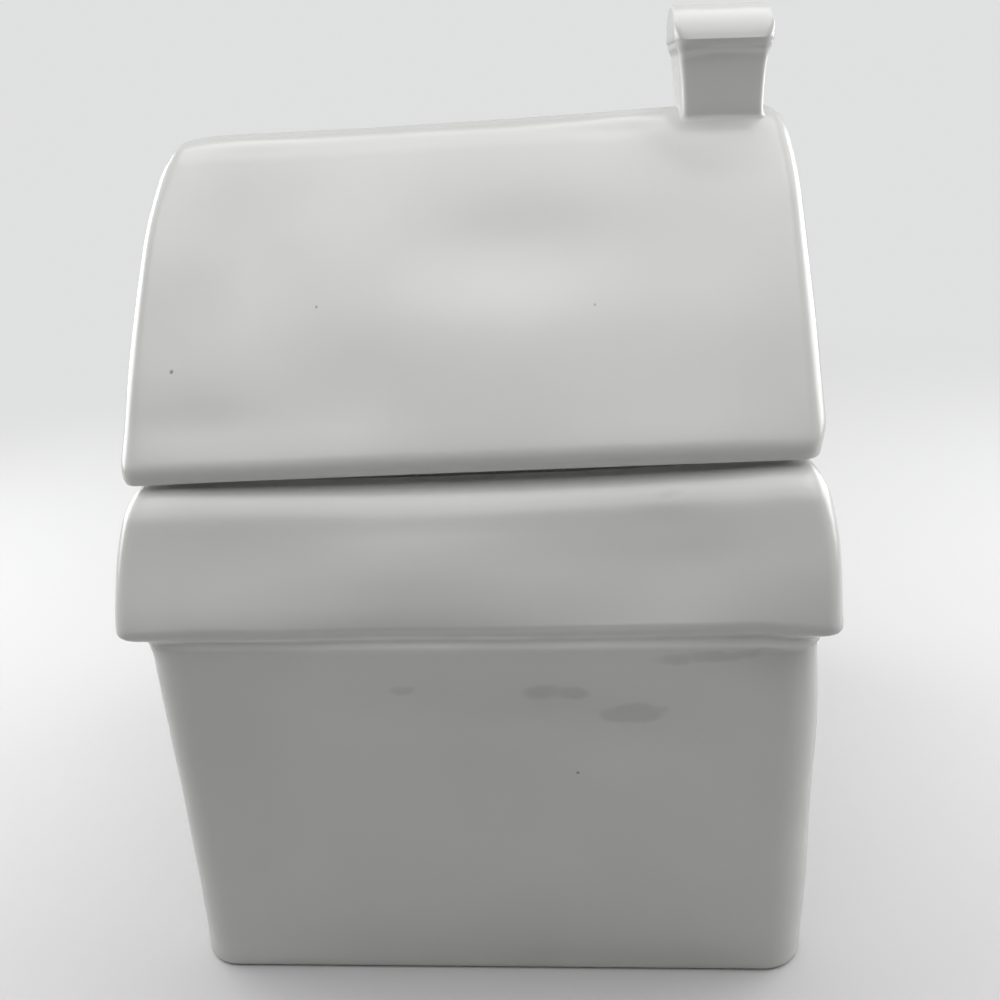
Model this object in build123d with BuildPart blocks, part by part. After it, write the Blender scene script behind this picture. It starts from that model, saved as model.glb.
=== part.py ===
from build123d import *
from math import cos, radians, sin, sqrt
import os

os.makedirs("parts", exist_ok=True)

# House body, outside sizes and casting thickness
body_width = 165.0  # along the ridge, X
body_depth = 170.0  # front to back, Y
body_height = 103.0  # table to the underside of the eaves
body_wall = 5.0
floor_thickness = 6.0
corner_radius = 11.0  # upright outside corners
base_radius = 3.5  # soft edge that meets the table
cavity_radius = 6.0  # inside corners and the turn into the floor
foot_width = 10.0  # dry ring that the jar stands on
foot_recess = 1.5  # hollow inside that ring

# Roof, two bowed slopes that run into a round ridge
eave_overhang = 5.0  # beyond the front and back walls
rake_overhang = 3.5  # beyond the gable walls
eave_pitch = 66.0  # slope at the eave, from level
crown_pitch = 43.5  # slope where the round ridge begins
ridge_radius = 24.0
rake_band = 9.0  # thickness of the roof as it shows on the gable ends
roof_wall = 6.0  # cast thickness under the slopes
roof_edge_radius = 4.0  # rakes, eaves and the shoulder under the lid

# Seam, where the lid parts from the jar
seam_height = 35.5  # above the underside of the eaves
rim_width = 9.0  # level seat on top of the front and back slopes
gable_rim_width = 8.0  # level seat on top of the gable walls
rim_depth = 8.0  # height of the thick rim round the mouth
mouth_radius = 8.0
mouth_bevel = 1.0
lid_lip_radius = 3.0  # soft lower edge of the lid
seat_thickness = 5.0  # level web of the lid that rests on the rim
flange_drop = 9.0  # collar of the lid that reaches into the mouth
flange_thickness = 4.0
flange_clearance = 1.5  # all round, between collar and mouth
flange_bevel = 1.0

# Chimney, the lid's knob
chimney_x = 16.0  # its centre, in from the outside of the right gable wall
shaft_width = 20.5
shaft_depth = 24.0
shaft_corner_radius = 2.5
shaft_wall = 4.5
shaft_top = 12.0  # underside of the cap, above the ridge
cap_overhang = 2.0
cap_lip = 3.0  # upright edge of the cap
cap_crown = 8.7  # rise of the cap's arched top above that edge
cap_edge_radius = 1.4

# Arcs of the roof, worked out from its pitches
eave_y = body_depth / 2 + eave_overhang
crown_y = ridge_radius * sin(radians(crown_pitch))
slope_radius = (eave_y - crown_y) / (sin(radians(eave_pitch)) - sin(radians(crown_pitch)))
slope_centre_y = eave_y - slope_radius * sin(radians(eave_pitch))
slope_centre_z = body_height - slope_radius * cos(radians(eave_pitch))
crown_z = slope_centre_z + slope_radius * cos(radians(crown_pitch))
ridge_centre_z = crown_z - ridge_radius * cos(radians(crown_pitch))
ridge_height = ridge_centre_z + ridge_radius
roof_length = body_width + 2 * rake_overhang
seam_z = body_height + seam_height


def slope_y(inset, height):
    """Half-depth of the roof at this height, measured this far inside its surface."""
    return slope_centre_y + sqrt((slope_radius - inset) ** 2 - (height - slope_centre_z) ** 2)


def roof_section(inset, low):
    """Upright section of the roof from this height to the ridge, this far inside its surface."""
    foot = slope_y(inset, low)
    crown = radians(crown_pitch)
    shoulder_y = (ridge_radius - inset) * sin(crown)
    shoulder_z = ridge_centre_z + (ridge_radius - inset) * cos(crown)
    middle_z = (low + shoulder_z) / 2
    middle_y = slope_y(inset, middle_z)
    with BuildSketch(Plane.YZ) as section:
        with BuildLine():
            Line((-foot, low), (foot, low))
            ThreePointArc((foot, low), (middle_y, middle_z), (shoulder_y, shoulder_z))
            ThreePointArc((shoulder_y, shoulder_z), (0, ridge_height - inset), (-shoulder_y, shoulder_z))
            ThreePointArc((-shoulder_y, shoulder_z), (-middle_y, middle_z), (-foot, low))
        make_face()
    return section.sketch


# Mouth of the jar and the collar that fits it
mouth_length = body_width - 2 * gable_rim_width
mouth_depth = 2 * (slope_y(0, seam_z) - rim_width)
flange_length = mouth_length - 2 * flange_clearance
flange_depth = mouth_depth - 2 * flange_clearance
flange_radius = mouth_radius - flange_clearance
seam_plane = Plane.XY.offset(seam_z)

# Place of the chimney on the ridge
chimney_centre = body_width / 2 - chimney_x
cap_z = ridge_height + shaft_top

# Eaves, the lower strip of the roof, rounded all round
with BuildPart() as eaves:
    extrude(roof_section(0, body_height), amount=roof_length / 2, both=True)
    split(bisect_by=seam_plane, keep=Keep.BOTTOM)
    fillet(eaves.edges(), radius=roof_edge_radius)
    extrude(roof_section(rake_band, body_height - roof_wall), amount=roof_length, both=True, mode=Mode.SUBTRACT)

# Gable walls between the eaves
with BuildPart() as gable_walls:
    with BuildSketch(Plane.XY.offset(body_height)):
        RectangleRounded(body_width, body_depth, corner_radius)
    extrude(amount=ridge_height - body_height)
    extrude(roof_section(rake_band / 2, body_height), amount=roof_length / 2, both=True, mode=Mode.INTERSECT)
    split(bisect_by=seam_plane, keep=Keep.BOTTOM)
    fillet(gable_walls.faces().sort_by(Axis.Z)[-1].edges().filter_by(Axis.Y), radius=roof_edge_radius)

# Hollow of the jar, from the floor up under the slopes
with BuildPart() as cavity:
    with BuildSketch(Plane.XY.offset(floor_thickness)):
        RectangleRounded(body_width - 2 * body_wall, body_depth - 2 * body_wall, cavity_radius)
    extrude(amount=seam_z - rim_depth - floor_thickness)
    extrude(roof_section(roof_wall, floor_thickness), amount=roof_length / 2, both=True, mode=Mode.INTERSECT)
    fillet(cavity.faces().sort_by(Axis.Z)[0].edges(), radius=cavity_radius)

# Jar, cast in one piece with the lower strip of the roof
with BuildPart() as jar_body:
    with BuildSketch():
        RectangleRounded(body_width, body_depth, corner_radius)
    extrude(amount=body_height)
    fillet(jar_body.faces().sort_by(Axis.Z)[0].edges(), radius=base_radius)
    add(gable_walls.part)
    add(eaves.part)
    add(cavity.part, mode=Mode.SUBTRACT)
    with BuildSketch(seam_plane):
        RectangleRounded(mouth_length, mouth_depth, mouth_radius)
    extrude(amount=-(rim_depth + roof_wall), mode=Mode.SUBTRACT)
    rim = jar_body.faces().filter_by(Plane.XY).filter_by_position(Axis.Z, seam_z, seam_z)
    chamfer(rim[0].inner_wires()[0].edges(), length=mouth_bevel)
    with BuildSketch():
        RectangleRounded(body_width - 2 * foot_width, body_depth - 2 * foot_width, cavity_radius)
    extrude(amount=foot_recess, mode=Mode.SUBTRACT)
jar_body.part.label = "jar_body"
export_step(jar_body.part, "parts/jar_body.step")

# Upper roof, rounded along the rakes and round its lower lip
with BuildPart() as slopes:
    extrude(roof_section(0, seam_z), amount=roof_length / 2, both=True)
    fillet(slopes.faces().filter_by(Axis.X).edges().filter_by(GeomType.CIRCLE), radius=roof_edge_radius)
    fillet(slopes.faces().sort_by(Axis.Z)[0].edges(), radius=lid_lip_radius)
    extrude(roof_section(rake_band, seam_z - roof_wall), amount=roof_length, both=True, mode=Mode.SUBTRACT)

# Gable panels of the lid
with BuildPart() as gable_panels:
    extrude(roof_section(rake_band / 2, seam_z), amount=body_width / 2, both=True)
    fillet(gable_panels.faces().sort_by(Axis.Z)[0].edges().filter_by(Axis.Y), radius=lid_lip_radius)

# Hollow of the lid above its level web
with BuildPart() as lid_hollow:
    extrude(roof_section(roof_wall, seam_z + seat_thickness), amount=body_width / 2 - body_wall, both=True)

# Lid, the upper roof with its locating collar
with BuildPart() as roof_lid:
    add(slopes.part)
    add(gable_panels.part)
    add(lid_hollow.part, mode=Mode.SUBTRACT)
    with BuildSketch(seam_plane):
        RectangleRounded(flange_length, flange_depth, flange_radius)
    extrude(amount=-flange_drop)
    chamfer(roof_lid.faces().sort_by(Axis.Z)[0].edges(), length=flange_bevel)
    with BuildSketch(Plane.XY.offset(seam_z - flange_drop)):
        RectangleRounded(
            flange_length - 2 * flange_thickness,
            flange_depth - 2 * flange_thickness,
            flange_radius - flange_bevel,
        )
    extrude(amount=flange_drop + seat_thickness, mode=Mode.SUBTRACT)
    with BuildSketch(Plane((chimney_centre, 0, ridge_centre_z))):
        RectangleRounded(shaft_width - 2 * shaft_wall, shaft_depth - 2 * shaft_wall, shaft_corner_radius)
    extrude(amount=ridge_radius, mode=Mode.SUBTRACT)
roof_lid.part.label = "roof_lid"
export_step(roof_lid.part, "parts/roof_lid.step")

# Cap of the chimney, arched from front to back
with BuildPart() as cap:
    cap_half = shaft_depth / 2 + cap_overhang
    lip_top = cap_z + cap_lip
    with BuildSketch(Plane.YZ.offset(chimney_centre)):
        with BuildLine():
            Polyline((-cap_half, lip_top), (-cap_half, cap_z), (cap_half, cap_z), (cap_half, lip_top))
            ThreePointArc((cap_half, lip_top), (0, lip_top + cap_crown), (-cap_half, lip_top))
        make_face()
    extrude(amount=shaft_width / 2 + cap_overhang, both=True)
    fillet(cap.edges(), radius=cap_edge_radius)

# Chimney, hollow, its foot cut to sit on the ridge
with BuildPart() as chimney:
    with BuildSketch(Plane((chimney_centre, 0, ridge_centre_z))):
        RectangleRounded(shaft_width, shaft_depth, shaft_corner_radius)
    extrude(amount=cap_z - ridge_centre_z)
    add(cap.part)
    with BuildSketch(Plane((chimney_centre, 0, ridge_centre_z))):
        RectangleRounded(shaft_width - 2 * shaft_wall, shaft_depth - 2 * shaft_wall, shaft_corner_radius)
    extrude(amount=cap_z - ridge_centre_z, mode=Mode.SUBTRACT)
    extrude(roof_section(0, body_height), amount=roof_length / 2, both=True, mode=Mode.SUBTRACT)
chimney.part.label = "chimney"
export_step(chimney.part, "parts/chimney.step")
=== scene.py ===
import bmesh
import bpy
import numpy as np
from mathutils import Matrix


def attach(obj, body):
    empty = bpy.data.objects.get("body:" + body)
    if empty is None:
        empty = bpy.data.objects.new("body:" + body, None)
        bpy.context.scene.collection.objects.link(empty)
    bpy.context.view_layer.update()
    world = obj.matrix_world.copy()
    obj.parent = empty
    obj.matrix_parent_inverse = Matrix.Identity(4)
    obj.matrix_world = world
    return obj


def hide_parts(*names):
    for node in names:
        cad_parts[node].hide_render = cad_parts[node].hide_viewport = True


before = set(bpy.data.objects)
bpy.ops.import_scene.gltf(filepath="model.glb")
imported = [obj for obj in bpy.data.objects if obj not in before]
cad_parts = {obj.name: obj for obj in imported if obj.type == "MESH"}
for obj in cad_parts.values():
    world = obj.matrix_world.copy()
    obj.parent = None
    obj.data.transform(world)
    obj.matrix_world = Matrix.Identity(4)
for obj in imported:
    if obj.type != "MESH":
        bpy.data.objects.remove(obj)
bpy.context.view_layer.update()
print("frame loaded:", ", ".join(sorted(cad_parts)))

mm = 0.001  # a millimetre, the unit of the shapes below, in metres

# sizes of the house in millimetres, front towards -Y and the ridge along X
house = {
    "halfWidth": 82.5, "halfDepth": 85.0, "cornerRadius": 11.0,
    "eaveHeight": 103.0, "eaveOverhang": 5.0, "eavePitch": 66.0, "crownPitch": 43.5,
    "ridgeRadius": 24.0, "seam": 138.5, "endFace": 86.0, "rakeRadius": 5.2,
    "band": 9.0, "bandEdge": 1.5, "bandCove": 1.2,  # roof edge on the gable ends, outer edge, inner cove
    "castWall": 6.0,
    "drawFrom": 60.0, "drawFull": 80.0,  # x between which the columns start to follow the drawn-in ends
    "step": 2.0,  # how far the ends draw in before the gable walls follow
    "bowShape": 0.6, "bowFrom": 46.0, "bowFull": 60.0,  # bow of the seam: power, start and full depth
    "chimneyX": 66.6,
}
halfWidth, halfDepth, seam = house["halfWidth"], house["halfDepth"], house["seam"]
eaveAngle, crownAngle = np.radians(house["eavePitch"]), np.radians(house["crownPitch"])
ridgeRadius = house["ridgeRadius"]
eaveY = halfDepth + house["eaveOverhang"]
bowRadius = (eaveY - ridgeRadius * np.sin(crownAngle)) / (np.sin(eaveAngle) - np.sin(crownAngle))
bowY = eaveY - bowRadius * np.sin(eaveAngle)
bowZ = house["eaveHeight"] - bowRadius * np.cos(eaveAngle)
ridgeZ = bowZ + bowRadius * np.cos(crownAngle) - ridgeRadius * np.cos(crownAngle)
ridgeTop = ridgeZ + ridgeRadius


def roofLine(angle, inset):
    # half-depth and height where the slope stands at this angle, this far inside its surface:
    # a point on the big bow's circle below the crown, and on the ridge's circle above it
    onBow = angle > crownAngle
    reach = np.where(onBow, bowRadius, ridgeRadius) - inset
    return (np.where(onBow, bowY, 0.0) + reach * np.sin(angle),
            np.where(onBow, bowZ, ridgeZ) + reach * np.cos(angle))


def angleAt(height, inset):
    # slope angle at which the bow, this far inside, passes this height
    return np.arccos((height - bowZ) / (bowRadius - inset))


def bowDepth(height, inset=0.0):
    # half-depth of the bowed slope at this height
    return bowY + np.sqrt((bowRadius - inset) ** 2 - (height - bowZ) ** 2)


def smooth(value, low, high):
    # 0 below low, 1 above high, an S curve between
    t = np.clip((value - low) / (high - low), 0.0, 1.0)
    return t * t * (3.0 - 2.0 * t)


def quarterPath():
    # columns of one quarter, from the middle of the front to the middle of the
    # gable: which stretch each is on (0 front, 1 corner, 2 gable), its share
    # of that stretch, and on the roof its x, inset and share of the depth
    r, edge, cove, band = house["rakeRadius"], house["bandEdge"], house["bandCove"], house["band"]
    endX, flatX = house["endFace"], halfWidth - house["cornerRadius"]
    turn = np.radians(np.linspace(0, 90, 9))
    corner = [(x, 0.0) for x in np.linspace(flatX, endX - r, 7)]
    corner += [(endX - r + r * np.sin(a), r - r * np.cos(a)) for a in turn[1:]]
    corner += [(endX, n) for n in np.linspace(r, band - edge, 4)[1:]]
    corner += [(endX - edge + edge * np.cos(a), band - edge + edge * np.sin(a)) for a in turn[2::2]]
    corner += [(halfWidth + cove - cove * np.sin(a), band + cove - cove * np.cos(a)) for a in turn[0::2]]
    corner = np.array(corner)
    along = np.r_[0.0, np.cumsum(np.hypot(*np.diff(corner, axis=0).T))]
    front = np.linspace(0, 1, 49)[:-1]
    gable = np.linspace(0, 1, 37)[1:]
    kind = np.r_[np.zeros(len(front)), np.ones(len(corner)), np.full(len(gable), 2)]
    share = np.r_[front, along / along[-1], gable]
    x = np.r_[front * flatX, corner[:, 0], np.full(len(gable), halfWidth)]
    inset = np.r_[np.zeros(len(front)), corner[:, 1], np.full(len(gable), band + cove)]
    depth = np.r_[np.ones(len(front) + len(corner)), 1.0 - gable]
    return kind, share, x, inset, depth


quarterKind, quarterShare, quarterX, quarterInset, quarterDepth = quarterPath()


def roundAll(x, y):
    # one quarter's columns carried round the whole loop: right
    # half from front to back, then the left half mirrored
    rightX, rightY = np.r_[x, x[-2::-1]], np.r_[y, -y[-2::-1]]
    return np.r_[rightX, -rightX[-2:0:-1]], np.r_[rightY, rightY[-2:0:-1]]


def alikeAll(values):
    # one quarter's values, none below zero, on the matching columns of all four quarters
    return np.abs(roundAll(values, values)[0])


# how far each column follows the roof's ends when they draw in, and which columns belong to the gable wall
endFollow = alikeAll(smooth(quarterX, house["drawFrom"], house["drawFull"]))
onGable = alikeAll(((quarterKind == 2) | ((quarterKind == 1) & (quarterInset > house["band"]))) * 1.0) > 0.5


def rectLoop(hx, hy, r, z):
    # rounded rectangle with these half-sizes, on the same columns as the roof's outline
    turn = quarterShare * np.pi / 2
    isFront, isCorner = quarterKind == 0, quarterKind == 1
    x = np.where(isFront, quarterShare * (hx - r), np.where(isCorner, hx - r + r * np.sin(turn), hx))
    y = np.where(isFront, -hy,
                 np.where(isCorner, -(hy - r) - r * np.cos(turn), -(hy - r) * (1 - quarterShare)))
    x, y = roundAll(x, y)
    return np.stack([x, y, np.full_like(x, z)], -1)


def roofLoop(y, z, taper):
    # outline of the roof with its rakes, from the half-depth
    # and height of a quarter's columns; taper draws the ends in
    x, depth = roundAll(quarterX, -y * quarterDepth)
    height = alikeAll(np.broadcast_to(z, quarterX.shape))
    drawn = taper(x < 0, height)
    x = x - np.sign(x) * np.where(onGable, np.maximum(drawn - house["step"], 0.0), endFollow * drawn)
    return np.stack([x, depth, height], -1)


def slopeLoop(z, taper):
    # outline of the bowed slopes at this height
    return roofLoop(bowDepth(z, quarterInset), z, taper)


def conic(start, corner, end, turnAngle, count):
    # loops of a soft edge from start to end, drawn towards the sharp corner between them:
    # the weighted mean of the three, with the cosine of half the turn as the corner's weight
    w = np.cos(turnAngle / 2)
    loops = []
    for t in np.linspace(0, 1, count):
        a, b, c = (1 - t) ** 2, 2 * w * t * (1 - t), t ** 2
        loops.append((a * start + b * corner + c * end) / (a + b + c))
    return loops


def gridNormals(loops):
    # unit normals of the grid: the cross product of the steps along its columns and its rows
    across = np.roll(loops, -1, 1) - np.roll(loops, 1, 1)
    along = np.gradient(loops, axis=0)
    normal = np.cross(across, along)
    return normal / np.maximum(np.linalg.norm(normal, axis=-1, keepdims=True), 1e-9)


def rowMask(loops, first, last):
    # 1 on the loops from first up to last, 0 on the others
    rows = np.arange(len(loops))
    return ((rows >= first) & (rows < last))[:, None] * 1.0


def skin(name, loops):
    # quads between each closed loop and the next, with the doubles at poles and ridge lines merged
    rows, columns = loops.shape[:2]
    index = np.arange(rows * columns).reshape(rows, columns)
    after = np.roll(index, -1, 1)
    quads = np.stack([index[:-1], after[:-1], after[1:], index[1:]], -1).reshape(-1, 4)
    mesh = bpy.data.meshes.new(name)
    mesh.from_pydata((loops.reshape(-1, 3) * mm).tolist(), [], quads.tolist())
    work = bmesh.new()
    work.from_mesh(mesh)
    bmesh.ops.remove_doubles(work, verts=work.verts, dist=2e-6)
    bmesh.ops.dissolve_degenerate(work, edges=work.edges, dist=1e-7)
    work.to_mesh(mesh)
    work.free()
    mesh.polygons.foreach_set("use_smooth", np.ones(len(mesh.polygons), dtype=bool))
    mesh.update()
    piece = bpy.data.objects.new(name, mesh)
    bpy.context.scene.collection.objects.link(piece)
    return piece


# slow waves of a hand-pressed mould: direction and length in millimetres, share and phase
waves = {
    "depth": 0.16, "lidShift": (13.0, 7.0, 0.0),
    "list": [
        ((0.90, 0.20, 0.35), 61.0, 1.0, 0.4), ((0.30, 0.40, 0.85), 47.0, 0.8, 2.1),
        ((-0.70, 0.30, 0.60), 38.0, 0.6, 4.0), ((0.55, -0.60, 0.50), 29.0, 0.35, 1.3),
        ((0.95, 0.10, -0.30), 23.0, 0.22, 5.2),
    ],
}


def waveDepth(points):
    # sum of sines along different directions, lifted so that it only goes inwards
    total = np.zeros(points.shape[:-1])
    size = sum(item[2] for item in waves["list"])
    for direction, length, share, phase in waves["list"]:
        unit = np.array(direction) / np.linalg.norm(direction)
        total += share * np.sin(points @ unit * 2 * np.pi / length + phase)
    return waves["depth"] * (total / size + 1.0)


def dimples(points, spots):
    # smooth hollows: a bell curve of each spot's depth and
    # radii round its centre; a negative depth is a swelling
    total = np.zeros(points.shape[:-1])
    for centre, radii, depth in spots:
        reach = (points - np.array(centre)) / np.array(radii)
        total += depth * np.exp(-np.sum(reach ** 2, axis=-1))
    return total


# jar: wall, eaves, shoulder, rim and inside; pairs are the
# levels or places between which a form comes in or fades
jar = {
    "baseRadius": 1.5, "baseFlat": 2.0, "footRing": 10.0, "footRecess": 1.5, "footRadius": 6.0,
    "footEdge": [(-0.8, 1.5), (-0.2, 1.25), (0.0, 0.7), (0.2, 0.2), (0.8, 0.0)],  # offset and height
    "eaveRadius": 4.0, "eaveCove": 3.0,
    "shoulderX": 77.0, "shoulderY": 64.3, "shoulderStart": 7.4, "shoulderDrop": 1.7, "shoulderTurn": 60.0,
    "rimRadius": 8.0, "rimDepth": 8.0,
    "mouthX": 74.5, "mouthY": 62.5, "mouthRadius": 8.0, "mouthLip": 1.2, "ledgeEdge": 0.8,
    "cavityX": 77.5, "cavityY": 80.0, "cavityRadius": 6.0, "floor": 6.0,
    "slopeFoot": 108.0, "wallHead": 106.0,
    "rimSag": 2.9, "sagCentre": 12.0, "sagRise": (112.0, 136.5),
    "endGap": 0.06, "endDraw": 3.3, "drawFrom": 118.0, "drawOver": 18.0,
    "leanHeights": [0, 12, 26, 47, 67, 79, 97, 106],
    "leanLeft": [-1.5, -1.1, -0.6, -0.5, -0.1, 0.5, 1.2, 0.0],
    "leanRight": [-0.4, -0.2, 0.25, 0.6, 0.95, 0.95, 0.9, 0.0],
    "leanFront": [-1.7, -1.4, -0.95, -0.45, -0.1, 0.0, 0.0, 0.0], "leanFrontFrom": (-20.0, 80.0),
    "longSide": (66.0, 76.0),
    "eaveMelt": 1.3, "rollTop": 113.0, "rollHeight": 10.0, "rollFoot": (100.5, 103.5),
    "eaveDrop": [  # place along the eave, and how far its lower line drops there
        (-84, 0.6), (-76, 0.15), (-65, -0.2), (-45, 0.6), (-27, 0.8),
        (8, 1.4), (42, 1.4), (67, 1.5), (75, 2.6), (86, 3.8),
    ],
    "dropRise": (93.5, 102.0), "dropFade": (105.0, 118.0),
    "bead": 0.5, "beadLevel": 101.6, "beadHalf": 1.6, "beadEnds": (70.0, 80.0),
    "softFoot": 8.0, "softSeam": 7.0, "eaveFrom": (101.0, 107.0), "wallTo": (96.0, 102.0),
    "eaveSpots": [  # centre, radii and depth of each soft hollow
        ((46, -76, 130), (6, 60, 3), 0.26), ((31, -84, 115), (20, 60, 16), 1.75),
        ((-14, -89, 105), (32, 60, 16), 1.98), ((-37, -80, 124), (37, 60, 12), 0.90),
        ((-19, -82, 120), (17, 60, 11), -1.08), ((0, -76, 130), (33, 60, 3), 0.18),
        ((52, -82, 119), (14, 60, 9), 0.80), ((-22, -86, 111), (29, 60, 3), -0.23),
        ((74, -82, 119), (8, 60, 22), 0.80), ((-24, -80, 123), (36, 60, 16), 0.50),
        ((18, -80, 123), (14, 60, 10), 0.60), ((52, -82, 120), (21, 60, 14), 1.30),
        ((-64, -79, 125), (34, 60, 14), 0.60),
    ],
    "wallSpots": [
        ((-12, -85, 83), (22, 60, 7), 0.33), ((19, -85, 82), (10, 60, 6), 0.79),
        ((30, -85, 75), (20, 60, 8), 0.68), ((71, -85, 98), (14, 60, 15), 1.98),
        ((-37, -85, 62), (8, 60, 22), -1.08), ((-65, -85, 61), (17, 60, 23), 1.09),
        ((43, -85, 21), (38, 60, 19), -1.08), ((60, -85, 52), (11, 60, 23), -1.08),
        ((-63, -85, 32), (15, 60, 25), 1.09), ((-24, -85, 82), (16, 60, 8), 0.40),
        ((16, -85, 81), (15, 60, 7), 0.60), ((33, -85, 73), (17, 60, 8), 0.40),
        ((72, -85, 98), (9, 60, 10), 0.60),
    ],
}


def jarTaper(isLeft, height):
    # both ends of the eaves draw in towards the seam, by the square of the height above this level
    return (jar["endGap"]
            + jar["endDraw"] * (np.clip(height - jar["drawFrom"], 0, None) / jar["drawOver"]) ** 2)


def eaveRows():
    # the cove under the eave and its round tip, two arcs that touch: each row's height and
    # its share of the way out from the wall to the tip, then the centre of the tip's arc
    r, cove = jar["eaveRadius"], jar["eaveCove"]
    tipZ = house["eaveHeight"] + r
    tipY = bowDepth(tipZ, r)
    reach = tipY + r - halfDepth
    coveY = halfDepth + cove
    coveZ = tipZ - np.sqrt((r + cove) ** 2 - (coveY - tipY) ** 2)
    meet = np.arctan2(tipZ - coveZ, coveY - tipY)
    rows = [(coveZ + cove * np.sin(a), cove * (1 - np.cos(a)) / reach) for a in np.linspace(0, meet, 7)[:-1]]
    rows += [(tipZ - r * np.sin(a), (tipY + r * np.cos(a) - halfDepth) / reach)
             for a in np.linspace(meet, 0, 8)]
    return coveZ, rows, tipY, tipZ


def jarLoops():
    # closed loops from the middle of the foot up the outside,
    # over the rim and down the inside to the floor's middle
    base, corner, recess = jar["baseRadius"], house["cornerRadius"], jar["footRecess"]
    footX, footY, footR = halfWidth - jar["footRing"], halfDepth - jar["footRing"], jar["footRadius"]
    loops = [rectLoop(0, 0, 0, recess)]
    loops += [rectLoop(footX * k, footY * k, footR * k, recess) for k in (0.3, 0.6, 0.85)]
    loops += [rectLoop(footX + out, footY + out, footR + out, z) for out, z in jar["footEdge"]]
    flat = base + jar["baseFlat"]
    loops.append(rectLoop(halfWidth - flat, halfDepth - flat, corner - flat, 0.0))
    for a in np.radians(np.linspace(0, 90, 7)):
        back = base * (1 - np.sin(a))
        loops.append(rectLoop(halfWidth - back, halfDepth - back, corner - back, base * (1 - np.cos(a))))
    coveZ, eave, tipY, tipZ = eaveRows()
    loops += [rectLoop(halfWidth, halfDepth, corner, z) for z in np.linspace(base, coveZ, 58)[1:-1]]

    # eave, whose depth falls by this much for each millimetre of inset
    r, band = jar["eaveRadius"], house["band"]
    fall = quarterInset * (bowDepth(tipZ + r / 2) - bowDepth(tipZ + r / 2, band)) / band
    wallLoop = rectLoop(halfWidth, halfDepth, corner, 0.0)
    tipLoop = roofLoop(tipY + r - fall, tipZ, jarTaper)
    for z, share in eave:
        loop = wallLoop + (tipLoop - wallLoop) * share
        loop[:, 2] = z
        loops.append(loop)
    slopeAngle = np.pi / 2 - angleAt(tipZ + 1.5, 0.0)
    topZ = tipZ + r * np.sin(slopeAngle)
    for a in np.linspace(0, slopeAngle, 5)[1:-1]:
        loops.append(roofLoop(tipY + r * np.cos(a) - fall, tipZ + r * np.sin(a), jarTaper))
    start, bend = seam - jar["shoulderStart"], seam - jar["shoulderDrop"]
    loops += [slopeLoop(z, jarTaper) for z in np.linspace(topZ, start, 17)[:-1]]
    seat = rectLoop(jar["shoulderX"], jar["shoulderY"], jar["rimRadius"], seam)
    loops += conic(slopeLoop(start, jarTaper), slopeLoop(bend, jarTaper), seat,
                   np.radians(jar["shoulderTurn"]), 15)
    outer = len(loops)

    # mouth, the ledge under the rim, and the hollow down to the floor
    mx, my, mr, lip = jar["mouthX"], jar["mouthY"], jar["mouthRadius"], jar["mouthLip"]
    for a in np.radians(np.linspace(0, 90, 5)):
        grow = lip * (1 - np.sin(a))
        loops.append(rectLoop(mx + grow, my + grow, mr + grow, seam - lip * (1 - np.cos(a))))
    ledge = seam - jar["rimDepth"]
    loops += [rectLoop(mx, my, mr, z) for z in np.linspace(seam - 2 * lip, ledge + jar["ledgeEdge"], 4)]
    # soft inner edge
    loops += [rectLoop(mx + out, my + out, mr, ledge + up) for out, up in ((0.3, 0.2), (0.9, 0.0))]
    cx, cy, cr, floor, wall = (jar["cavityX"], jar["cavityY"], jar["cavityRadius"],
                               jar["floor"], house["castWall"])
    loops += [rectLoop(cx, min(bowDepth(z, wall), cy), cr, z)
              for z in np.linspace(ledge, jar["slopeFoot"], 14)]
    loops += [rectLoop(cx, cy, cr, z) for z in np.linspace(jar["wallHead"], floor + cr, 24)]
    for a in np.radians(np.linspace(0, 90, 6))[1:]:
        back = cr * (1 - np.cos(a))
        loops.append(rectLoop(cx - back, cy - back, max(cr - back, 0.01), floor + cr - cr * np.sin(a)))
    loops += [rectLoop((cx - cr) * k, (cy - cr) * k, 0.01, floor) for k in (0.8, 0.4)]
    loops.append(rectLoop(0, 0, 0, floor))
    return np.array(loops), outer


def softenJar(loops, outer):
    # the outside moves in along its normals by the waves
    # and the hollows, which fade out towards foot and seam
    z = loops[..., 2]
    base = jar["baseRadius"]
    mask = smooth(z, base, base + jar["softFoot"]) * (1 - smooth(z, seam - jar["softSeam"], seam))
    onEave, onWall = smooth(z, *jar["eaveFrom"]), 1 - smooth(z, *jar["wallTo"])
    hollows = dimples(loops, jar["eaveSpots"]) * onEave + dimples(loops, jar["wallSpots"]) * onWall
    depth = (waveDepth(loops) + hollows) * mask * rowMask(loops, 0, outer)
    return loops - gridNormals(loops) * depth[..., None]


def seamBow(loops, amount, level):
    # long sides bow up or down by this amount: one less the square of the way to the end, to a power,
    # times an S curve in from the middle of the jar, times the level mask
    x, y = loops[..., 0], loops[..., 1]
    off = x - jar["sagCentre"]
    reach = halfWidth - 2 - np.sign(off) * jar["sagCentre"]
    along = np.clip(1 - (off / reach) ** 2, 0, 1) ** house["bowShape"]
    bowed = loops.copy()
    bowed[..., 2] += amount * along * smooth(np.abs(y), house["bowFrom"], house["bowFull"]) * level
    return bowed


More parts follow.
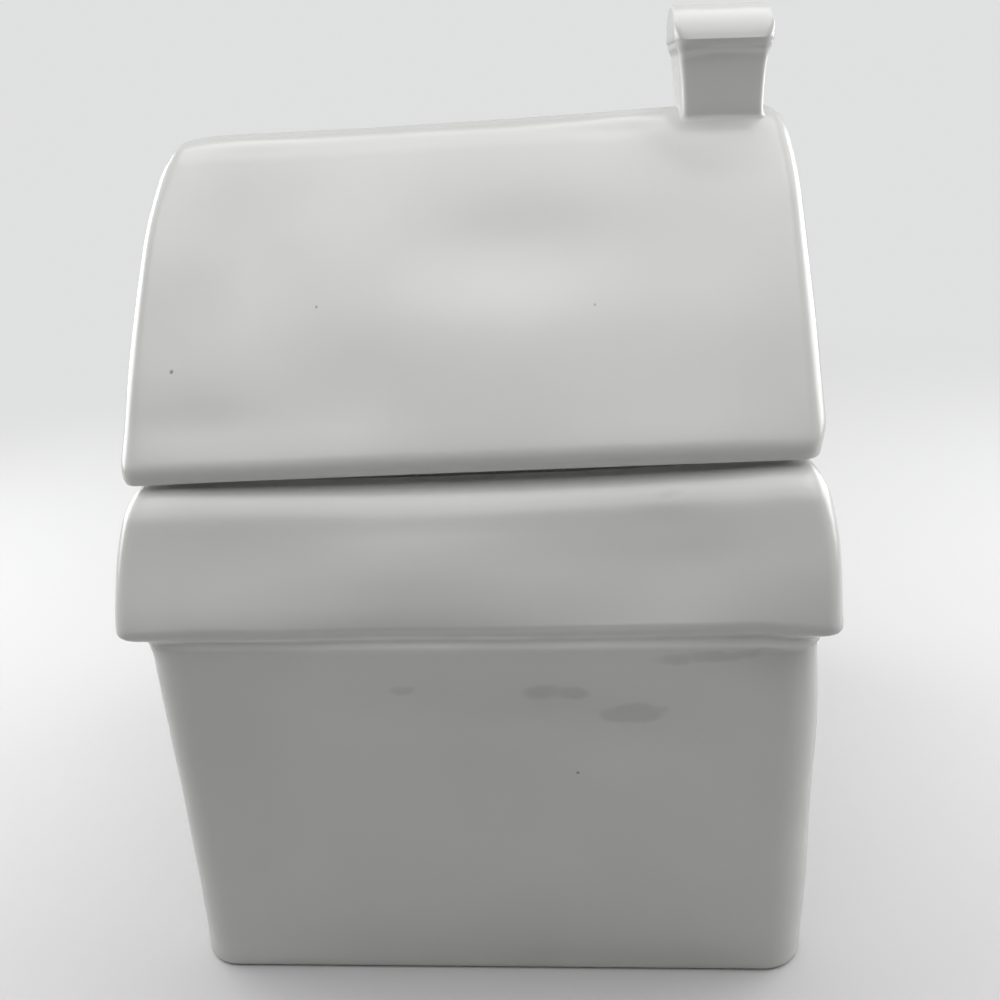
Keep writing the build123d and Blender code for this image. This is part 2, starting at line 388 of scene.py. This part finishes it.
def shapeEave(loops, outer):
    # the eave's edge rolls under by the square of the height below a level, its lower line drops by an
    # amount that changes along it, and the glaze gathers in a bead below it, a bell curve in height
    x, y, z = loops[..., 0], loops[..., 1], loops[..., 2]
    outside = rowMask(loops, 0, outer)
    long = smooth(np.abs(y), *jar["longSide"]) * outside
    roll = np.clip((jar["rollTop"] - z) / jar["rollHeight"], 0, 1) ** 2 * smooth(z, *jar["rollFoot"])
    bead = jar["bead"] * np.exp(-((z - jar["beadLevel"]) / jar["beadHalf"]) ** 2) * outside
    drop = (np.interp(x, *np.array(jar["eaveDrop"]).T)
            * smooth(z, *jar["dropRise"]) * (1 - smooth(z, *jar["dropFade"])))
    shaped = loops.copy()
    shaped[..., 0] += np.sign(x) * bead * smooth(np.abs(x), *jar["beadEnds"]) * (1 - long)
    shaped[..., 1] += np.sign(y) * (bead - jar["eaveMelt"] * roll) * long
    shaped[..., 2] -= drop * long
    return shaped


def leanJar(loops):
    # walls lean by amounts that change with height: in x from
    # the left end's to the right end's, in y on the front
    x, y, z = loops[..., 0], loops[..., 1], loops[..., 2]
    left = np.interp(z, jar["leanHeights"], jar["leanLeft"])
    right = np.interp(z, jar["leanHeights"], jar["leanRight"])
    leaned = loops.copy()
    leaned[..., 0] += left + (right - left) * (x / halfWidth + 1) / 2
    leaned[..., 1] += np.interp(z, jar["leanHeights"], jar["leanFront"]) * smooth(-y, *jar["leanFrontFrom"])
    return leaned


jarGrid, jarOuter = jarLoops()
jarGrid = leanJar(shapeEave(softenJar(jarGrid, jarOuter), jarOuter))
jarGrid = seamBow(jarGrid, -jar["rimSag"], smooth(jarGrid[..., 2], *jar["sagRise"]))
jarPiece = skin("jarGlazed", jarGrid)
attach(jarPiece, "jar")
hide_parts("jar_body")
print("jar built")

# lid: bowed slopes, rakes, gable panels, lip, level web, collar and hollow
lid = {
    "lipStart": 5.0, "lipCorner": 2.2, "lipEdge": 0.7, "lipX": 79.5, "lipY": 66.2, "lipRadius": 8.0,
    "lipShare": 0.8, "lipTurn": 48.0, "tuck": 0.021, "relief": 1.6, "lipBow": 0.45, "bowFade": (4.0, 26.0),
    "sink": [(-84, 1.0), (-60, 0.9), (-36, 1.0), (-20, 1.0),  # x, depth of the lip
             (20, 1.05), (60, 1.0), (84, 0.75)],
    "draw": 1.5, "drawLeft": 3.6, "drawRight": 1.5, "drawFrom": 190.0, "cornerDraw": 1.9, "cornerRise": 7.0,
    "collarX": 73.0, "collarY": 61.0, "collarRadius": 6.5,
    "collarWall": 4.0, "collarDrop": 9.0, "collarEdge": 1.2,
    "web": 5.0, "hollowX": 77.5, "hollowRadius": 3.0,
    "ridge": [  # place along the ridge, and how far it rises there
        (-84, -0.9), (-76, 0.3), (-66, 0.75), (-56, 0.4), (-45, 0.2), (-30, -0.1),
        (-8, -0.3), (15, -0.5), (40, -0.4), (64, -0.3), (74, -0.8), (84, -2.2),
    ],
    "ridgeBlend": 5.0, "ridgeReach": 22.0,
    "softLip": 7.0, "softRidge": (4.0, 0.6), "hollowsFrom": (2.0, 13.0), "chimneyClear": (17.0, 27.0),
    "spots": [  # centre, radii and depth of each soft hollow
        ((16, -38, 185), (29, 60, 13), 1.98), ((-27, -60, 156), (20, 60, 11), 0.95),
        ((-58, -49, 172), (26, 60, 14), 0.77), ((56, -53, 166), (32, 60, 19), 1.98),
        ((46, -20, 203), (17, 60, 20), 0.80), ((-53, -30, 193), (10, 60, 15), 0.95),
        ((66, -53, 166), (18, 60, 12), -0.96), ((-65, -63, 151), (18, 60, 7), 0.72),
        ((18, -33, 190), (44, 60, 16), 1.00), ((-56, -40, 182), (29, 60, 17), 1.00),
        ((54, -43, 178), (15, 60, 23), 1.10), ((65, -54, 164), (23, 60, 23), -0.90),
        ((-51, -24, 200), (38, 60, 12), 0.80),
    ],
}


def lidTaper(isLeft, height):
    # ends of the lid stop short of the eaves and draw in by the square of the way up to the ridge,
    # and at the right corner also towards the seam
    up = np.clip((height - lid["drawFrom"]) / (ridgeTop - lid["drawFrom"]), 0, 1) ** 2
    low = (1 - smooth(height, seam, seam + lid["cornerRise"])) * lid["cornerDraw"]
    return lid["draw"] + np.where(isLeft, lid["drawLeft"] * up, lid["drawRight"] * up + low)


def lidLoops():
    # closed loops from the hollow's ridge down its slopes, round
    # the collar, out over the web and lip, and up the roof
    wall, web, hx = house["castWall"], seam + lid["web"], lid["hollowX"]
    justBelow = crownAngle + 1e-6  # on the bow, where it meets the ridge's circle
    loops = []
    for a in np.r_[np.linspace(0, crownAngle, 9)[:-1], np.linspace(justBelow, angleAt(web, wall), 16)]:
        y, z = roofLine(a, wall)
        loops.append(rectLoop(hx, float(y), min(lid["hollowRadius"], float(y)), float(z)))
    cx, cy, cr, thick = lid["collarX"], lid["collarY"], lid["collarRadius"], lid["collarWall"]
    inX, inY, inR = cx - thick, cy - thick, cr - 1.0
    low, edge = seam - lid["collarDrop"], lid["collarEdge"]
    for out, down in ((1.0, 0.0), (0.3, 0.3), (0.0, 1.0)):
        loops.append(rectLoop(inX + out, inY + out, inR + out, web - down))
    loops += [rectLoop(inX, inY, inR, z) for z in np.linspace(web - 3.5, low + 1.5, 5)]
    for a in np.radians(np.linspace(0, 180, 9))[1:]:
        out = thick / 2 * (1 - np.cos(a))
        loops.append(rectLoop(inX + out, inY + out, inR + out * 0.25, low + edge - edge * np.sin(a)))
    loops += [rectLoop(cx, cy, cr, z) for z in np.linspace(low + 3.0, seam - 0.8, 4)]
    loops += [rectLoop(cx + out, cy + out, cr + out, seam - down) for out, down in ((0.25, 0.2), (0.9, 0.0))]
    loops.append(rectLoop(cx + 2.6, cy + 2.4, cr + 1.0, seam))
    outer = len(loops)

    # lip: from the relieved seat out to a tucked-in corner, and up into the slope
    seat = rectLoop(lid["lipX"], lid["lipY"], lid["lipRadius"], seam + lid["relief"])
    start, turnAt = seam + lid["lipStart"], seam + lid["lipCorner"]
    bend = slopeLoop(turnAt, lidTaper)
    corner, upright = bend.copy(), bend.copy()
    corner[:, 2] -= lid["lipCorner"] + np.interp(bend[:, 0], *np.array(lid["sink"]).T)
    upright[:, 2] = corner[:, 2] + lid["lipEdge"]
    corner[:, 1] *= 1 - lid["tuck"]
    upright[:, 1] *= 1 - lid["tuck"]
    loops.append(seat)
    loops += conic(seat + (corner - seat) * lid["lipShare"], corner, upright, np.radians(90), 6)
    loops += conic(upright, bend, slopeLoop(start, lidTaper), np.radians(lid["lipTurn"]), 9)[1:-1]
    foot = angleAt(start, quarterInset)
    for t in np.linspace(0, 1, 46)[:-1]:
        loops.append(roofLoop(*roofLine(foot * (1 - t) + crownAngle * t, quarterInset), lidTaper))
    loops += [roofLoop(*roofLine(a, quarterInset), lidTaper) for a in np.linspace(crownAngle, 0, 19)]
    return np.array(loops), outer


def ridgeLift(x):
    # slow rise and fall of the ridge: the mean of its stations
    # a little to both sides and, counted twice, right here
    stations, lifts = np.array(lid["ridge"]).T
    before, here, after = (np.interp(x + step, stations, lifts)
                           for step in (-lid["ridgeBlend"], 0, lid["ridgeBlend"]))
    return (before + 2 * here + after) / 4


def softenLid(loops, outer):
    # the outside moves in along its normals by the waves and the hollows,
    # which stay clear of lip, ridge and chimney, and the ridge rises and falls
    x, y, z = loops[..., 0], loops[..., 1], loops[..., 2]
    outside = rowMask(loops, outer, len(loops))
    ridgeLow, ridgeHigh = (ridgeTop - down for down in lid["softRidge"])
    mask = smooth(z, seam, seam + lid["softLip"]) * (1 - smooth(z, ridgeLow, ridgeHigh)) * outside
    lipLow, lipHigh = (seam + up for up in lid["hollowsFrom"])
    clear = smooth(z, lipLow, lipHigh) * smooth(np.hypot(x - house["chimneyX"], y), *lid["chimneyClear"])
    depth = (waveDepth(loops + np.array(waves["lidShift"])) + dimples(loops, lid["spots"]) * clear) * mask
    moved = loops - gridNormals(loops) * depth[..., None]
    moved[..., 2] += ridgeLift(x) * smooth(z, ridgeTop - lid["ridgeReach"], ridgeTop) * outside
    return moved


lidGrid = softenLid(*lidLoops())
bowLow, bowHigh = (seam + up for up in lid["bowFade"])
lidGrid = seamBow(lidGrid, lid["lipBow"], 1 - smooth(lidGrid[..., 2], bowLow, bowHigh))
lidPiece = skin("lidGlazed", lidGrid)
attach(lidPiece, "lid")
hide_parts("roof_lid")
print("lid built")

# chimney: shaft with a soft foot on the ridge, and a cap arched from front to back over a tucked-in edge
stack = {
    "halfWidth": 10.25, "halfDepth": 12.0, "radius": 1.6, "hidden": 6.0, "hiddenUnder": 2.0,
    "spread": 2.8, "skirt": 1.4, "skirtSunk": 1.5, "sunk": 1.2, "cornerSunk": 0.36, "rise": 1.4,
    "footTurn": 80.0,
    "taper": 0.1, "widen": 0.8, "neck": 11.1, "tuck": 12.7,  # levels above the ridge
    "beadWidth": 0.75, "beadSwell": 0.30, "sideCurve": (-0.2, 1.6),
    "capEdge": 14.5, "overhang": 2.0, "edge": 0.9, "edgeIn": 0.35, "edgeDown": 0.6, "crown": 8.6,
    "tilt": 0.045,
}


def stackLoop(hx, hy, r, z):
    # rounded rectangle round the chimney's axis, z a number or a function of y
    count = 16
    side = np.linspace(-1, 1, count + 1)[:-1]
    turn = np.radians(np.linspace(-90, 0, 9))[:-1]
    flatX, flatY = hx - r, hy - r
    x = np.r_[side * flatX, flatX + r * np.cos(turn),
              np.full(count, hx), flatX + r * np.cos(turn + np.pi / 2)]
    y = np.r_[np.full(count, -hy), -flatY + r * np.sin(turn),
              side * flatY, flatY + r * np.sin(turn + np.pi / 2)]
    x, y = np.r_[x, -x], np.r_[y, -y]
    height = z(y) if callable(z) else np.full_like(y, z)
    return np.stack([x + house["chimneyX"], y, height], -1)


def ridgeHeight(y):
    # height of the round ridge at this depth
    return ridgeZ + np.sqrt(ridgeRadius ** 2 - np.minimum(np.abs(y), ridgeRadius * 0.95) ** 2)


def raised(loop, rise):
    # the loop moved up by this much
    return loop + np.array([0, 0, rise])


def tilted(loop):
    # the cap leans up to the left a little
    return np.stack([loop[:, 0], loop[:, 1],
                     loop[:, 2] - (loop[:, 0] - house["chimneyX"]) * stack["tilt"]], -1)


def stackLoops():
    # closed loops from inside the ridge out to the flared foot, up the shaft, round the cap and over its arch
    hx, hy, r, taper, widen = (stack[key] for key in ("halfWidth", "halfDepth", "radius", "taper", "widen"))
    foot = ridgeTop - stack["hidden"]
    loops = [stackLoop(0, 0, 0, foot)]

    def hidden(y):
        # under the ridge, inside the lid's slopes
        return np.minimum(ridgeHeight(y) - stack["hiddenUnder"], foot)

    loops += [stackLoop(hx * k, hy * k, r * k, hidden) for k in (0.5, 0.9)]
    flare, sunk = stack["spread"], stack["sunk"]
    skirt = flare + stack["skirt"]
    loops.append(raised(stackLoop(hx + skirt, hy + skirt, r + skirt, ridgeHeight), -stack["skirtSunk"]))
    wide = raised(stackLoop(hx + flare, hy + flare, r + flare, ridgeHeight), -sunk)
    corner = raised(stackLoop(hx - taper, hy - taper, r, ridgeHeight), -stack["cornerSunk"])
    shaft = raised(corner, stack["rise"])
    loops += conic(wide, corner, shaft, np.radians(stack["footTurn"]), 11)
    for loop in loops:
        loop[:, 2] += ridgeLift(loop[:, 0])

    # shaft, which widens by the square of the way up, and the bead of its neck
    neck, tuck, rim = (ridgeTop + stack[key] for key in ("neck", "tuck", "capEdge"))
    for t in np.linspace(0, 1, 9)[1:]:
        loop = stackLoop(hx - taper + (widen + taper) * t ** 2, hy - taper * (1 - t), r, 0.0)
        loop[:, 2] = shaft[:, 2] * (1 - t) + neck * t
        loops.append(tilted(loop) if t == 1 else loop)
    bead, swell, over, edge = (stack[key] for key in ("beadWidth", "beadSwell", "overhang", "edge"))
    edgeIn, edgeDown = edge * stack["edgeIn"], edge * stack["edgeDown"]
    under = over - edgeIn
    for t in np.linspace(0, 1, 7)[1:]:
        out = bead * t ** 1.5 + swell * np.sin(np.pi * t)
        side = widen + (under - widen) * smooth(t, *stack["sideCurve"])
        loops.append(tilted(stackLoop(hx + side, hy + out, r + out, neck + (tuck - neck) * t)))
    for t in (0.25, 0.5, 0.75):
        out = bead + (under - bead) * t
        side = widen + (under - widen) * smooth(1 + t * 0.6, *stack["sideCurve"])
        loops.append(tilted(stackLoop(hx + side, hy + out, r + out, tuck + (rim - edgeDown - tuck) * t)))

    # cap: the end faces rise upright from the tucked-in edge to the arch
    topX, topY, crown = hx + over, hy + over, stack["crown"]
    arch = (topY ** 2 + crown ** 2) / (2 * crown)

    def archZ(y):
        # circle through both edges of the cap and its crown
        return rim + crown - arch + np.sqrt(np.maximum(arch ** 2 - y ** 2, 0))

    inner = stackLoop(topX - edge, topY - edge, max(r + over - edge, 0.5), archZ)
    tip = stackLoop(topX, topY, r + over, archZ)
    below = stackLoop(topX - edgeIn, topY - edgeIn, r + over - edgeIn, rim - edgeDown)
    lower, upper = tip.copy(), tip.copy()
    lower[:, 2] = rim
    upper[:, 2] = np.maximum(tip[:, 2] - edge, rim)
    turned = (below + lower) / 2
    turned[:, 2] = rim - edge / 4
    cap = conic(below, turned, lower, np.radians(60), 4) + [lower + (upper - lower) * t for t in (0.5, 1.0)]
    cap += conic(upper, tip, inner, np.radians(80), 6)[1:]
    cap += [stackLoop(topX * k, topY * k, (r + over) * k, archZ)
            for k in (0.84, 0.7, 0.55, 0.4, 0.25, 0.1, 0.0)]
    return np.array(loops + [tilted(loop) for loop in cap])


stackPiece = skin("chimneyGlazed", stackLoops())
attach(stackPiece, "lid")
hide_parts("chimney")
print("chimney built")


class Wire:
    # a socket whose arithmetic adds Math nodes
    def __init__(self, tree, socket):
        self.tree, self.socket = tree, socket

    def other(self, name):
        # another output of the same node
        return Wire(self.tree, self.socket.node.outputs[name])

    def maths(self, operation, *values):
        return self.tree.node("ShaderNodeMath", {"operation": operation}, dict(enumerate(values)))

    def __add__(self, other): return self.maths("ADD", self, other)
    def __radd__(self, other): return self.maths("ADD", other, self)
    def __sub__(self, other): return self.maths("SUBTRACT", self, other)
    def __rsub__(self, other): return self.maths("SUBTRACT", other, self)
    def __mul__(self, other): return self.maths("MULTIPLY", self, other)
    def __rmul__(self, other): return self.maths("MULTIPLY", other, self)
    def __gt__(self, other): return self.maths("GREATER_THAN", self, other)
    def __abs__(self): return self.maths("ABSOLUTE", self)


class Tree:
    # the nodes of one material or world
    def __init__(self, owner):
        owner.use_nodes = True
        self.nodes, self.links = owner.node_tree.nodes, owner.node_tree.links
        self.nodes.clear()

    def node(self, kind, settings=None, inputs=None, output=0):
        # one node: its type, its settings, then the values or links of its sockets
        made = self.nodes.new(kind)
        for key, value in (settings or {}).items():
            setattr(made, key, value)
        for key, value in (inputs or {}).items():
            if isinstance(value, Wire):
                self.links.new(value.socket, made.inputs[key])
            else:
                made.inputs[key].default_value = value
        return Wire(self, made.outputs[output]) if len(made.outputs) else None

    def noise(self, place, scale, detail, roughness):
        return self.node("ShaderNodeTexNoise", None,
                         {"Vector": place, "Scale": scale, "Detail": detail, "Roughness": roughness})

    def ramp(self, value, low, high):
        return self.node("ShaderNodeMapRange", {"interpolation_type": "SMOOTHSTEP"},
                         {"Value": value, "From Min": low, "From Max": high})

    def mixColour(self, factor, first, second):
        # the colour mix's sockets go by number, because their names repeat
        return self.node("ShaderNodeMix", {"data_type": "RGBA"}, {0: factor, 6: first, 7: second}, output=2)

    def vector(self, operation, first, second=None, output=0):
        inputs = {0: first} if second is None else {0: first, 1: second}
        return self.node("ShaderNodeVectorMath", {"operation": operation}, inputs, output)


# white gloss glaze: colours, and the scales of its patterns in waves per metre; the thick colour is a paler
# glaze that also serves as painted highlight and lifted shade, the thin colour a darker glaze that also
# serves as painted shade
glaze = {
    "colour": (0.80, 0.80, 0.785, 1), "thick": (0.97, 0.97, 0.955, 1), "thinAndPaintedShade": (0.50, 0.50, 0.485, 1),
    "pooled": (0.755, 0.758, 0.735, 1), "bisque": (0.70, 0.67, 0.62, 1), "pinhole": (0.30, 0.27, 0.24, 1),
    "ior": 1.5, "roughness": 0.22, "pooledRough": 0.03, "pinRough": 0.3, "bareRough": 0.55,
    "driftScale": 22.0, "driftRange": (0.42, 0.68), "driftShare": 0.6,
    "peelScale": 520.0, "peel": 0.000012, "swellScale": 75.0, "swell": 0.000035,
    "pinScale": 38.0, "pinSize": (0.008, 0.016), "pinChance": 0.86, "pinFrom": -0.02, "pinDepth": 0.0003,
    "bandWander": 0.0012, "smearScale": 140.0, "smear": 2.2, "markEdge": (0.2, 1.0),
    "bareEdge": (-0.0004, 0.0002),
}


def glazeMaterial(name, bareBelow=None, paintedLightBands=(), marks=()):
    # glaze that drifts slowly in colour, with faint orange peel and a few random pinholes; level bands of
    # paler or darker colour paint highlights and shade, and one also marks thick glaze; single marks show
    # thin glaze and pinholes; below the height bareBelow the clay is dry
    material = bpy.data.materials.new(name)
    tree = Tree(material)
    place = tree.node("ShaderNodeTexCoord", output="Object")
    along = tree.node("ShaderNodeSeparateXYZ", None, {0: place}, output="X")
    deep, high = along.other("Y"), along.other("Z")
    drift = tree.noise(place, glaze["driftScale"], 2.0, 0.5)
    peel = tree.noise(place, glaze["peelScale"], 1.0, 0.4)
    swell = tree.noise(place, glaze["swellScale"], 1.0, 0.4)
    smear = tree.noise(place, glaze["smearScale"], 2.0, 0.6)
    pooled = tree.ramp(drift, *glaze["driftRange"]) * glaze["driftShare"]
    colour = tree.mixColour(pooled, glaze["colour"], glaze["pooled"])

    # bands of painted light and shade: kind, height, half width, x of the middle, curve and slope along x,
    # strength; in metres
    for kind, level, half, middle, curve, slope, strength in paintedLightBands:
        off = along - middle
        off = off * off * curve + off * slope + high + (drift - 0.5) * glaze["bandWander"] - level
        colour = tree.mixColour((1 - tree.ramp(abs(off), half * 0.3, half)) * strength, colour, glaze[kind])

    # marks: centre and radii in millimetres, kind, strength; thin ones have a smeared edge
    for centre, radii, kind, strength in marks:
        away = tree.vector("SUBTRACT", place, [c * mm for c in centre])
        away = tree.vector("MULTIPLY", away, [1 / (r * mm) for r in radii])
        reach = tree.vector("DOT_PRODUCT", away, away, output="Value")
        if kind == "thinAndPaintedShade":
            reach = reach + (smear - 0.5) * glaze["smear"]
        mark = 1 - tree.ramp(reach, *glaze["markEdge"])
        colour = tree.mixColour(mark * strength, colour, glaze[kind])

    # pinholes: the middle of a few random cells on the front half
    cells = tree.node("ShaderNodeTexVoronoi", {"feature": "F1"},
                      {"Vector": place, "Scale": glaze["pinScale"], "Randomness": 1.0})
    luck = tree.node("ShaderNodeSeparateColor", None, {0: cells.other("Color")})
    pin = (1 - tree.ramp(cells, *glaze["pinSize"])) * (luck > glaze["pinChance"]) * (deep > glaze["pinFrom"])
    colour = tree.mixColour(pin, colour, glaze["pinhole"])
    rough = glaze["roughness"] + pooled * glaze["pooledRough"] + pin * glaze["pinRough"]
    height = peel * glaze["peel"] + swell * glaze["swell"] - pin * glaze["pinDepth"]
    normal = tree.node("ShaderNodeBump", None, {"Height": height, "Strength": 1.0, "Distance": 1.0})
    if bareBelow is not None:
        low, edge = glaze["bareEdge"]
        bare = 1 - tree.ramp(high, bareBelow + low, bareBelow + edge)
        colour = tree.mixColour(bare, colour, glaze["bisque"])
        rough = rough + bare * glaze["bareRough"]
    shader = tree.node("ShaderNodeBsdfPrincipled", None,
                       {"Base Color": colour, "Roughness": rough, "Normal": normal, "IOR": glaze["ior"]})
    tree.node("ShaderNodeOutputMaterial", None, {"Surface": shader})
    return material


# glaze of each piece: a paler band along the bead under the eave, thick glaze and painted highlight; painted
# shade along the ridge; painted highlight at the chimney's neck and painted light on its shaft
jarGlaze = {
    # paler band along the bead under the eave: thick glaze gathered there, and also a painted highlight
    # lifting the cove's shade
    "bareBelow": 0.0009, "paintedLightBands": [("thick", 0.1017, 0.0022, 0.0, 0.0, 0.020, 1.0)],
    "marks": [
        ((-17, -85, 88.7), (4.2, 4, 1.9), "thinAndPaintedShade", 0.30), ((19.6, -85, 87.1), (9.0, 4, 2.9), "thinAndPaintedShade", 0.36),
        ((36.5, -85, 81.1), (10.5, 4, 3.4), "thinAndPaintedShade", 0.36), ((58, -85, 96.3), (17, 4, 2.2), "thinAndPaintedShade", 0.36),
        ((46.5, -75, 132.8), (6.5, 4, 1.8), "thinAndPaintedShade", 0.45), ((24.2, -85, 64.2), (0.5, 4, 0.5), "pinhole", 0.8),
    ],
}
lidGlaze = {
    # painted shade: a darker band along the top of the ridge, toning down its lit strip
    "paintedLightBands": [("thinAndPaintedShade", 0.2136, 0.0085, 0.0, 0.0, 0.0, 0.36)],
    "marks": [
        ((-71.3, -55.7, 162.3), (0.6, 4, 0.6), "pinhole", 0.9),
        ((-35.7, -46.5, 174.3), (0.45, 4, 0.45), "pinhole", 0.7),
        ((32.4, -48.9, 171.4), (0.55, 4, 0.55), "pinhole", 0.8),
    ],
}
chimneyGlaze = {
    # painted highlight: a paler arched band at the chimney's neck under the cap; painted light: a paler band
    # over the shaft, lifting its shade
    "paintedLightBands": [("thick", 0.2258, 0.0013, 0.0665, 12.0, 0.03, 0.8),
              ("thick", 0.2180, 0.0110, 0.0665, 0.0, 0.0, 0.75)],
}
jarPiece.data.materials.append(glazeMaterial("whiteGlazeJar", **jarGlaze))
lidPiece.data.materials.append(glazeMaterial("whiteGlazeLid", **lidGlaze))
stackPiece.data.materials.append(glazeMaterial("whiteGlazeChimney", **chimneyGlaze))
print("glaze made")

# pale floor, soft lamps, and a pale surround that the camera sees past them; in metres and watts
studio = {
    "floorSize": 6.0, "floorColour": (0.61, 0.61, 0.613, 1), "floorBounce": (0.43, 0.43, 0.432, 1),
    "paperRough": 0.7,
    "fade": (0.15, 0.70), "seen": (0.745, 0.748, 0.752, 1), "ambient": (0.012, 0.012, 0.012, 1),
    "mirrored": (0.50, 0.50, 0.505, 1), "mirroredFront": (0.28, 0.28, 0.28, 1), "behind": (-0.1, 0.4),
    "lamps": [  # name, place, point that it faces, width, height, power
        ("over", (0.0, 0.20, 1.50), (0, 0, 0.15), 1.6, 1.4, 17.7),
        ("overFront", (0.0, -0.78, 1.40), (0, 0, 0.15), 1.6, 0.72, 5.3),
        ("left", (-0.60, 0.20, 0.30), (0, 0.05, 0.10), 0.6, 0.36, 3.2),
        ("right", (0.60, 0.20, 0.30), (0, 0.05, 0.10), 0.6, 0.36, 3.2),
    ],
}


def makeFloor():
    # lit paper near the jar, paler for the camera than in its
    # bounced light; for the camera it fades into the surround
    half = studio["floorSize"]
    mesh = bpy.data.meshes.new("studioFloor")
    mesh.from_pydata([(-half, -half, 0), (half, -half, 0), (half, half, 0), (-half, half, 0)],
                     [], [(0, 1, 2, 3)])
    floor = bpy.data.objects.new("studioFloor", mesh)
    bpy.context.scene.collection.objects.link(floor)
    material = bpy.data.materials.new("paleFloor")
    tree = Tree(material)
    place = tree.node("ShaderNodeTexCoord", output="Object")
    camera = tree.node("ShaderNodeLightPath", output="Is Camera Ray")
    far = tree.ramp(tree.vector("LENGTH", place, output="Value"), *studio["fade"]) * camera
    shade = tree.mixColour(camera, studio["floorBounce"], studio["floorColour"])
    paper = tree.node("ShaderNodeBsdfPrincipled", None,
                      {"Base Color": shade, "Roughness": studio["paperRough"]})
    surround = tree.node("ShaderNodeEmission", None, {"Color": studio["seen"], "Strength": 1.0})
    shader = tree.node("ShaderNodeMixShader", None, {0: far, 1: paper, 2: surround})
    tree.node("ShaderNodeOutputMaterial", None, {"Surface": shader})
    mesh.materials.append(material)


def makeWorld():
    # the camera sees the pale surround, reflections see it bright
    # behind the jar and dim in front, other light is faint
    world = bpy.data.worlds.new("paleStudio")
    bpy.context.scene.world = world
    tree = Tree(world)
    camera = tree.node("ShaderNodeLightPath", output="Is Camera Ray")
    glossy, clear = camera.other("Is Glossy Ray"), camera.other("Is Transmission Ray")
    direction = tree.node("ShaderNodeTexCoord", output="Generated")
    behind = tree.ramp(tree.node("ShaderNodeSeparateXYZ", None, {0: direction}, output="Y"),
                       *studio["behind"])
    mirrored = tree.mixColour(behind, studio["mirroredFront"], studio["mirrored"])
    colour = tree.mixColour(glossy, studio["ambient"], mirrored)
    seen = tree.node("ShaderNodeMath", {"operation": "ADD", "use_clamp": True}, {0: camera, 1: clear})
    colour = tree.mixColour(seen, colour, studio["seen"])
    shader = tree.node("ShaderNodeBackground", None, {"Color": colour, "Strength": 1.0})
    tree.node("ShaderNodeOutputWorld", None, {"Surface": shader})


def placed(thing, right, up, away, spot):
    # puts a lamp or camera at this spot, looking against away
    turned = np.eye(4)
    turned[:3] = np.stack([right, up, away, spot], -1)
    thing.matrix_world = Matrix(turned.tolist())
    bpy.context.scene.collection.objects.link(thing)


def softbox(name, place, aim, sizeX, sizeY, watts):
    # rectangular area light that looks from one point to another
    data = bpy.data.lights.new(name, "AREA")
    data.shape, data.size, data.size_y, data.energy = "RECTANGLE", sizeX, sizeY, watts
    away = np.array(place) - np.array(aim)
    away = away / np.linalg.norm(away)
    right = np.cross((0, 0, 1) if abs(away[2]) < 0.98 else (0, 1, 0), away)
    right = right / np.linalg.norm(right)
    placed(bpy.data.objects.new(name, data), right, np.cross(away, right), away, place)


makeFloor()
makeWorld()
for lamp in studio["lamps"]:
    softbox(*lamp)
print("studio lit")

# camera fitted to the photograph's perspective: place in millimetres, turn, tilt and roll in radians,
# focal length in pixels of a frame this wide
view = {
    "place": (29.58, -277.74, 218.90), "turn": -0.101015, "tilt": 0.396254, "roll": -0.075156,
    "focal": 963.0, "frameWidth": 1000.0, "sensor": 36.0, "clip": (0.01, 50.0),
}


def makeCamera():
    # looks ahead by the turn and tilt, then rolls about its axis
    turn, tilt, roll = view["turn"], view["tilt"], view["roll"]
    ahead = np.array([np.sin(turn) * np.cos(tilt), np.cos(turn) * np.cos(tilt), -np.sin(tilt)])
    right = np.array([np.cos(turn), -np.sin(turn), 0.0])
    up = np.cross(right, ahead)
    right, up = np.cos(roll) * right + np.sin(roll) * up, -np.sin(roll) * right + np.cos(roll) * up
    data = bpy.data.cameras.new("camera")
    data.sensor_width, data.lens = view["sensor"], view["sensor"] * view["focal"] / view["frameWidth"]
    data.clip_start, data.clip_end = view["clip"]
    camera = bpy.data.objects.new("camera", data)
    placed(camera, right, up, -ahead, np.array(view["place"]) * mm)
    bpy.context.scene.camera = camera


makeCamera()
bpy.context.scene.view_settings.view_transform = "Standard"
print("camera placed")
